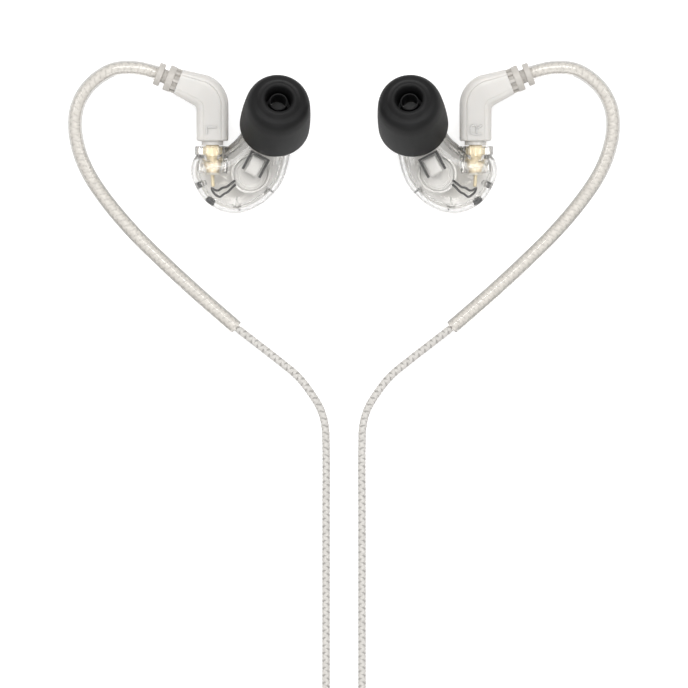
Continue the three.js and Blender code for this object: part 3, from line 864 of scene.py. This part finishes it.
# ---- boots ----
def boot_section(count=25):
    """Upper half of the boot's section from its outer edge to its inner one, as shares of the
    half width and half height. A fine groove runs along each edge of the flat front."""
    points = []
    for a in np.linspace(0, 0.5 * math.pi, count)[:-2]:
        points.append((-0.59 - 0.41 * math.cos(a) ** 0.9, 0.36 + 0.60 * math.sin(a)))
    points += [(-0.595, 0.965), (-0.565, 0.94), (-0.53, 0.985), (-0.49, 1.0)]
    points += [(u, 1.0) for u in np.linspace(-0.3, 0.4, 8)]
    points += [(0.53, 0.995), (0.56, 0.955), (0.59, 0.97)]
    for a in np.linspace(0.5 * math.pi, 0, count)[2:]:
        points.append((0.60 + 0.40 * math.cos(a) ** 0.9, 0.36 + 0.60 * math.sin(a)))
    upper = np.array(points)
    return np.vstack([upper, upper[::-1] * np.array((1, -1))])


def boot_mesh():
    across = np.array((-RELIEF_AXIS[1], RELIEF_AXIS[0]))
    w = BOOT_HALF_WIDTH
    low_end = BOOT_END - BOOT_END_HALF_WIDTH * across
    corner = 1.0  # rounding of the inner corner
    slope = unit(low_end - (ELBOW + np.array((0.35, -0.1))))
    facing = np.array((-slope[1], slope[0]))
    corner_x = ELBOW[0] + corner
    corner_centre = np.array((
        corner_x, (low_end @ facing - corner - corner_x * facing[0]) / facing[1]))
    corner_last = math.atan2(facing[1], facing[0])
    last = math.atan2(RELIEF_AXIS[0], -RELIEF_AXIS[1])
    stations = []  # outer edge, inner edge, half height
    inner_x, outer_x = CONNECTOR_X + w, CONNECTOR_X - w
    edge = [(BOOT_BOTTOM_Y + up, cut) for up, cut in (
        (0, 0.3), (0.06, 0.17), (0.17, 0.06), (0.32, 0))]
    for y, cut in (*edge, *((y, 0) for y in np.linspace(11.4, 16.2, 10))):
        stations.append(((outer_x + cut, y), (inner_x - cut, y), w - cut))
    for t in np.linspace(0, 1, 30):
        a, b = math.pi + t * (last - math.pi), math.pi + t * (corner_last - math.pi)
        outer = ELBOW + 2 * w * np.array((math.cos(a), math.sin(a)))
        inner = corner_centre + corner * np.array((math.cos(b), math.sin(b)))
        stations.append((outer, inner, w))
    top_start, low_start = stations[-1][:2]
    top_end = BOOT_END + BOOT_END_HALF_WIDTH * across
    for t in (0.12, 0.25, 0.4, 0.55, 0.7, 0.82, 0.92, 0.965):
        stations.append((top_start + (top_end - top_start) * t,
                         low_start + (low_end - low_start) * t, w - 0.55 * smooth_step(t)))
    for t, cut in ((0.99, 0.05), (1.0, 0.16)):
        stations.append((top_start + (top_end - top_start) * t - cut * across,
                         low_start + (low_end - low_start) * t + cut * across, w - 0.55 - cut))
    section = boot_section()
    rings = []
    for outer, inner, high in stations:
        outer, inner = np.array(outer), np.array(inner)
        middle, reach = (outer + inner) / 2, (inner - outer) / 2
        flat = middle + section[:, :1] * reach
        rings.append(np.column_stack([flat, CONNECTOR_Z + section[:, 1] * high]))
    direction = np.arctan2(section[:, 1], section[:, 0])

    def circle(r, y):
        return np.column_stack([
            CONNECTOR_X + r * np.cos(direction), np.full(len(section), y),
            CONNECTOR_Z + r * np.sin(direction)])

    start = [circle(r, y) for r, y in (
        (0.05, 14), (1.4, 14), (1.4, 9.9), (1.5, 9.8), (2.05, 9.8), (2.15, 9.9), (2.15, 10.5),
        (2.25, 10.58))]
    return loft(start + rings)


def stroke(line, width, height, z, step=0.06):
    """A raised rounded stroke of a letter on a flat face."""
    p = np.array([(x, y, z) for x, y in line])
    path = np.vstack([
        np.linspace(a, b, max(2, int(np.linalg.norm(b - a) / step)) + 1)[:-1]
        for a, b in zip(p, p[1:])
    ] + [p[-1:]])
    ring = np.column_stack([
        0.5 * width * softened(np.cos(angles(16)), 0.6),
        height * softened(np.sin(angles(16)), 0.7)])
    return tube(path, end_taper(path, 1.0, 0.12), section=ring)


def letter(*lines):
    face_z = CONNECTOR_Z + BOOT_HALF_WIDTH
    return joined(*(stroke(line, 0.4, 0.34, face_z - 0.03) for line in lines))


both_sides("boot_body", boot_mesh(), MILKY, CABLE, "milky_plastic", "*_boot", sharp=24)
# Both letters stand on their sides, turned so that their feet point away from each other.
x, y = -24.85, 12.7
left_letter = letter([(x - 0.9, y + 0.45), (x + 0.95, y + 0.45)],
                     [(x - 0.9, y + 0.5), (x - 0.9, y - 0.85)])
x, low, high = 24.85, y - 0.85, y + 0.85
right_letter = letter(
    [(x - 1.05, low), (x + 1.05, low)],
    [(x - 1.05, low), (x - 1.05, high - 0.45), (x - 0.85, high - 0.1), (x - 0.45, high),
     (x - 0.1, high - 0.15), (x + 0.05, high - 0.5), (x + 0.05, low)],
    [(x + 0.05, high - 0.75), (x + 1.05, high + 0.02)])
one_piece("left_side_letter", left_letter, MILKY, CABLE, "milky_plastic", sharp=60)
one_piece("right_side_letter", right_letter, MILKY, CABLE, "milky_plastic", sharp=60)


# ---- strain reliefs ----
RELIEF_DIRECTION = Vector((*RELIEF_AXIS, 0)).normalized()
RELIEF_ORIGIN = Vector((*BOOT_END, CONNECTOR_Z))


def relief_mesh():
    core = lathe([
        (0.7, -0.05), (1.75, -0.05), (1.75, 1.0), (2.4, 1.0), (2.45, 1.15), (2.45, 2.2),
        (2.35, 2.3), (1.4, 2.3), (1.3, 2.4), (1.3, 3.1), (1.4, 3.2), (2.1, 3.2),
        (2.16, 3.3), (2.16, 4.25), (2.06, 4.35), (1.45, 4.35), (1.4, 4.1), (0.7, 4.1),
    ], RELIEF_ORIGIN, RELIEF_DIRECTION, 72, 0.09)
    u, v, w = axis_frame(RELIEF_DIRECTION)
    corners = np.array([(-0.3, 1.6), (0.3, 1.6), (0.26, 2.34), (-0.26, 2.34)])
    windows, turn = 9, 0.3  # turn is a share of the angle of one window
    ribs = []
    for a in angles(windows) + 2 * math.pi * turn / windows:
        out = math.cos(a) * u + math.sin(a) * v
        ring = np.array(RELIEF_ORIGIN) + corners @ np.stack([np.cross(w, out), out])
        ribs.append(loft([ring + h * w for h in (-0.05, 1.05)]))
    return joined(core, *ribs)


both_sides("relief_body", relief_mesh(), RELIEF, CABLE, "relief_elastomer", "*_strain_relief")


# ---- coaxial plugs and sockets ----
CONNECTOR = Vector((CONNECTOR_X, 0, CONNECTOR_Z))


def connector_part(profile, rounding=0.05, segments=72, shape=None):
    return lathe(profile, CONNECTOR, ALONG_Y, segments, rounding, shape=shape)


def slit(r, h, angle):
    """Four narrow slits along the socket's spring fingers, and shallow flats between them."""
    radius = np.full(len(angle), float(r))
    if r > 1.6 and h > 7.7:
        phase = (angle + 0.5) % (0.5 * math.pi)
        radius -= 0.16 * (phase < 0.11)
        radius -= 0.07 * (0.5 - 0.5 * np.cos(12 * angle))
    return radius


both_sides("plug_barrel_body", connector_part([
    (0.85, 6.5), (1.15, 6.5), (1.2, 6.7), (1.2, 7.1), (1.24, 7.15), (1.24, 7.75), (1.2, 7.8),
    (1.2, 13.6), (0.85, 13.6)]), BRASS, CABLE, "gold_contact", "*_plug_barrel")
both_sides("plug_pin_body", connector_part([
    (0, 6.6), (0.15, 6.6), (0.3, 6.9), (0.3, 13.6), (0, 13.6)]), BRASS, CABLE, "gold_contact",
    "*_plug_pin")
both_sides("plug_insulator", connector_part([
    (0.31, 7.6), (0.84, 7.6), (0.84, 13.0), (0.31, 13.0)]), INSULATOR, CABLE, "milky_plastic")
earpiece_part("socket_shell", connector_part([
    (0.75, 4.9), (1.25, 4.9), (1.3, 5.6), (1.55, 5.75), (1.62, 6.3), (1.62, 6.9), (1.95, 6.95),
    (1.95, 7.2), (1.6, 7.3), (1.6, 7.6), (1.9, 7.75), (1.9, 9.3), (1.5, 9.35), (1.5, 5.95),
    (0.75, 5.95)], 0.06, 96, slit), BRASS, "gold_contact", "*_socket_body", sharp=26)
earpiece_part("socket_tail", connector_part([
    (0, 1.9), (0.25, 1.9), (0.36, 2.05), (0.36, 4.1), (0.5, 4.3), (0.5, 6.2), (0, 6.3)]),
    BRASS, "gold_contact", "*_socket_pin")
earpiece_part("socket_insulator", connector_part([
    (0.51, 4.2), (1.5, 4.2), (1.5, 4.85), (0.74, 4.9), (0.74, 5.9), (0.51, 5.9)]),
    INSULATOR, "milky_plastic")


# ---- ear tips and nozzles ----
def along_tip(profile, segments=128, rounding=0.0):
    return lathe(profile, TIP_BASE, TIP_AXIS, segments, rounding)


def tip_profile():
    outside = spline([
        (6.58, -0.55), (6.57, 0.9), (6.48, 3.2), (6.26, 6.2), (6.02, 8.3), (5.62, 9.7),
        (5.05, 10.42), (4.5, 10.66), (4.1, 10.84), (3.72, 11.17), (3.3, 11.45), (2.85, 11.4),
        (2.56, 11.05), (2.42, 10.4), (2.36, 9.7),
    ], per=8)
    core = fillet([
        (2.32, 7.1), (1.8, 7.0), (1.74, 9.9), (1.48, 9.9), (1.5, 6.7), (2.05, 6.5),
        (2.05, 1.6), (2.85, 1.6), (2.95, 8.2), (3.7, 9.1), (4.9, 9.0), (5.5, 7.6),
        (5.95, 4), (6.3, -0.5)], 0.14, 4, closed=False)
    return [*outside, *core, (6.42, -0.6), (6.52, -0.6)]


both_sides("tip_body", along_tip(tip_profile()), SILICONE, "*_ear_tip", "ear_tip_silicone",
           "*_ear_tip", sharp=40)
earpiece_part("nozzle_tube", along_tip([
    (0.95, -3.7), (1.55, -3.7), (1.55, 4.2), (1.8, 4.7), (1.8, 5.1), (1.55, 6.3), (1.45, 6.4),
    (1.0, 6.4), (0.95, 6.3)], 64, 0.06), CLEAR_SHELL, "clear_shell", "*_nozzle")
earpiece_part("nozzle_grille", along_tip([
    (0, 6.5), (1.1, 6.5), (1.4, 6.56), (1.45, 6.5), (1.45, 6.41), (0.94, 6.41), (0.88, 5.6),
    (0, 5.6)], 48), SCREEN, "screen_mesh", "*_nozzle_screen")


# ---- drivers, wires and vent ----
DRIVER = Vector((17.4, 4.4, 0))
ARMATURE = (16.67, 6.0, 0)
ARMATURE_TURN = math.radians(90 - 62.2)


def driver_part(profile, rounding=0.08):
    return lathe(profile, DRIVER, ALONG_Z, 96, rounding)


earpiece_part("driver_can", driver_part([
    (0, 2.0), (3.6, 2.0), (3.7, 2.15), (3.7, 4.55), (3.85, 4.6), (3.85, 4.8), (3.3, 4.8),
    (3.3, 2.4), (0, 2.4)]), STEEL, "driver_metal", "*_driver_housing")
earpiece_part("driver_disc", driver_part(bar(2.4, 2.7, 3.7)), MAGNET, "magnet",
              "*_driver_magnet")
corrugated = [(3.25 - 0.1 * i, 4.34 + 0.07 * math.sin(i * 1.6)) for i in range(10)]
earpiece_part("driver_cone", driver_part([
    (3.25, 4.2), *corrugated, (2.2, 4.35), (1.7, 4.62), (0.9, 4.8), (0, 4.86), (0, 4.74),
    (0.9, 4.68), (1.65, 4.5), (2.2, 4.22), (2.9, 4.2)], 0.0), FILM, "diaphragm_film",
    "*_driver_diaphragm")


def armature_mesh():
    body = block(-1.22, 1.22, -1.9, 1.55, 6.0, 7.9, 0.16)
    lid = block(-1.02, 1.02, -1.7, 1.35, 7.85, 8.0, 0.12)
    terminals = [
        block(x - 0.22, x + 0.22, -2.15, -1.85, 6.5, 7.1, 0.06) for x in (-0.5, 0.5)
    ]
    return turned(joined(body, lid, *terminals), ARMATURE_TURN, ARMATURE)


def cradle_mesh():
    outer, inner, foot = 2.0, 1.52, -1.7
    arch = [(-outer, foot), (-inner, foot), (-inner, 1.85), (inner, 1.85), (inner, foot),
            (outer, foot), (outer, 2.2), (-outer, 2.2)]
    return turned(plate(fillet(arch, 0.12, 2), 5.9, 8.1, 0.05, 2), ARMATURE_TURN, ARMATURE)


earpiece_part("armature_can", armature_mesh(), STEEL, "driver_metal", "*_armature_driver")
earpiece_part("cradle_rubber", cradle_mesh(), RUBBER, "black_rubber", "*_driver_cradle")
for name, route in (
    ("wire_signal", [(24.75, 1.55, 5.75), (24.35, 1.3, 5.8), (23.7, 1.2, 5.9), (22.8, 1.8, 5.9),
                     (22.1, 1.95, 5.8), (20.95, 2.8, 5.6), (20.5, 3.15, 5.2)]),
    ("wire_ground", [(25.0, 1.8, 5.2), (24.9, 1.25, 5.2), (24.4, 0.5, 5.2), (23.4, -0.05, 5.3),
                     (22.5, 0.6, 5.4), (21.9, 0.95, 5.4), (20.85, 2.0, 5.4), (20.4, 2.4, 5.1)]),
):
    line, _ = even(spline(route), 0.08)
    earpiece_part(f"{name}_body", tube(line, 0.22, 16), INSULATION, "wire_insulation",
                  f"*_{name}", sharp=60)
# The vent sits a little further down the shell's edge than in part.mjs.
VENT_AT = Vector((25.22, -0.88, 7.45))
VENT_AXIS = Vector((0.57, -0.71, 0.41))
earpiece_part("vent_disc", lathe([
    (0, -0.14), (0.62, -0.12), (0.7, -0.03), (0.9, -0.03), (0.95, -0.1), (0.95, -0.25),
    (0, -0.25)], VENT_AT, VENT_AXIS, 64, 0.04), VENT, "vent_black", "*_vent_screen")


# ---- clear shells ----
outline = even(spline(SHELL_OUTLINE, closed=True), 0.32)[0][:-1]


def dome(loop, foot, height, depth, power, crown, grid=0.55):
    """A triangulated cap over a closed line. It rises from foot by height, over a rounded edge
    of this depth, and its flat top is crowned. The loop's own points come first."""
    inner = [loop]
    for share in (0.012, 0.04, 0.09, 0.16, 0.25, 0.36, 0.49, 0.64, 0.82, 1.0):
        ring = inset_loop(loop, share * depth)
        inner.append(ring[gap_to(ring, loop) > 0.96 * share * depth])
    low, high = loop.min(0), loop.max(0)
    xs, ys = np.meshgrid(np.arange(low[0], high[0], grid), np.arange(low[1], high[1], grid))
    field = np.column_stack([xs.ravel(), ys.ravel()])
    x0, y0 = loop[:, 0], loop[:, 1]
    x1, y1 = np.roll(x0, -1), np.roll(y0, -1)
    above = (y0[None] > field[:, 1:]) != (y1[None] > field[:, 1:])
    cross = (x1 - x0) * (field[:, 1:] - y0) / (y1 - y0 + 1e-12) + x0
    inside = (above & (field[:, :1] < cross)).sum(1) % 2 == 1
    field = field[inside]
    inner.append(field[gap_to(field, loop) > depth + 0.4 * grid])
    flat = np.vstack(inner)
    n = len(loop)
    edges = [(i, (i + 1) % n) for i in range(n)]
    verts, _, faces, *_ = delaunay_2d_cdt([Vector(p) for p in flat], edges, [], 1, 1e-6)
    xy = np.array([tuple(v) for v in verts])
    gap = gap_to(xy, loop)
    gap[:n] = 0
    rise = (1 - (1 - np.minimum(gap / depth, 1)) ** power) ** (1 / power)
    centre = loop.mean(0)
    away = np.linalg.norm(xy - centre, axis=1) / 12
    z = foot + height * rise + crown * rise * (1 - np.minimum(away, 1) ** 2)
    return np.column_stack([xy, z]), faces


def half_shell(foot, height, depth, power, crown, wall):
    """One half of the shell, closed, with its inner surface and the rim between them."""
    sign = 1 if height > 0 else -1
    outer = dome(outline, foot, height, depth, power, crown)
    inner_loop = inset_loop(outline, wall)
    inner = dome(inner_loop, foot, height - sign * wall, depth - 0.5 * wall, power, crown)
    points, faces = joined(outer, inner)
    n, start = len(outline), len(outer[0])
    faces += [[i, (i + 1) % n, start + (i + 1) % n, start + i] for i in range(n)]
    return points, faces


WALL = 0.8
SEAM_GAP = 0.02
inner_half = half_shell(SEAM_Z + SEAM_GAP, SHELL_TOP - SEAM_Z - 0.35, 3.1, 2.2, 0.5, WALL)
outer_half = half_shell(SEAM_Z - SEAM_GAP, -(SEAM_Z - SEAM_GAP), 2.3, 2.4, 0.0, WALL)
collar = connector_part([
    (0, 4.6), (2.7, 4.6), (2.9, 5.2), (2.9, 7.9), (COLLAR_RADIUS, 8.05),
    (COLLAR_RADIUS, 9.45), (3.2, 9.6), (0, 9.6)], 0.12, 64)
socket_bore = connector_part([
    (0, 2.4), (1.98, 2.4), (1.98, 9.3), (2.25, 9.7), (2.25, 12), (0, 12)], 0.02, 64)
FAR = 60  # past the whole shell
above_seam = plate(square(FAR), SEAM_Z + SEAM_GAP, FAR)
below_seam = plate(square(FAR), -FAR, SEAM_Z - SEAM_GAP)
neck = along_tip([(0, -3.6), (3.8, -3.6), (3.3, -2.2), (2.8, -0.4), (2.6, 1.2), (0, 1.2)], 64)
nozzle_bore = along_tip(bar(1.7, -7, 3), 64)
vent_hole = lathe(bar(0.98, -2, 4), VENT_AT, VENT_AXIS, 64)
earpiece_part("shell_front", carved(
    inner_half, ("UNION", collar), ("DIFFERENCE", socket_bore), ("INTERSECT", above_seam),
    ("UNION", neck), ("DIFFERENCE", nozzle_bore), ("DIFFERENCE", vent_hole)),
    CLEAR_SHELL, "clear_shell", "*_shell_inner", sharp=28)
earpiece_part("shell_back", carved(
    outer_half, ("UNION", collar), ("DIFFERENCE", socket_bore), ("INTERSECT", below_seam)),
    CLEAR_SHELL, "clear_shell", "*_shell_outer", sharp=28)


def lip_mesh():
    """The tongue along the seam: a thin wall that follows the outline inside the shell."""
    section = [(0.12, 4.4), (0.12, 6.3), (0.2, 6.42), (0.45, 6.42), (0.52, 6.3), (0.52, 4.4)]
    return loft([level(inset_loop(outline, WALL + inset), z) for inset, z in section], wrap=True)


earpiece_part("shell_lip", lip_mesh(), CLEAR_SHELL, "clear_shell")


def post_mesh():
    """Clear posts, ribs and snap features inside the shell."""
    def post(x, y, r, low, high, bore):
        profile = [(bore, low), (r, low), (r, high), (bore, high)]
        return lathe(profile, Vector((x, y, 0)), ALONG_Z, 40, 0.08)

    def rib(x0, y0, x1, y1, low=4.8, high=7.3, thick=0.24):
        start, end = np.array((x0, y0)), np.array((x1, y1))
        off = unit(np.array((y0 - y1, x1 - x0))) * thick / 2
        return plate([start + off, end + off, end - off, start - off], low, high, 0.05, 2)

    snap = [rib(*ends) for ends in (
        (14.95, 0.65, 14.4, 1.85), (14.4, 1.85, 13.6, 1.2), (14.8, 1.2, 13.95, 1.6),
        (21.0, -1.35, 20.55, -1.95), (19.4, -1.35, 19.75, -2.0))]
    steps = [rib(13.3, y, 14.15, y, 6.3, 7.5) for y in (6.0, 6.35, 6.7)]
    mark = plate(fillet([(19.75, -1.75), (20.35, -1.75), (20.3, -0.5), (20.0, 0.1)], 0.2),
                 4.2, 7.6, 0.1)
    ledge = block(21.75, 24.3, 2.5, 4.05, 4.6, 6.4, 0.12)
    side_rib = block(21.35, 22.25, 4.5, 6.9, 4.2, 7.6, 0.12)
    return joined(
        post(27.0, 2.4, 0.6, 1.0, 8.2, 0), post(25.55, 5.6, 1.22, 7.75, 9.1, 0.95),
        mark, ledge, side_rib, *snap, *steps)


earpiece_part("shell_posts", post_mesh(), CLEAR_SHELL, "clear_shell")

for prefix, _ in SIDES:
    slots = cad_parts[f"{prefix}_snap_ring"].data.materials
    slots.clear()
    slots.append(SPRING)
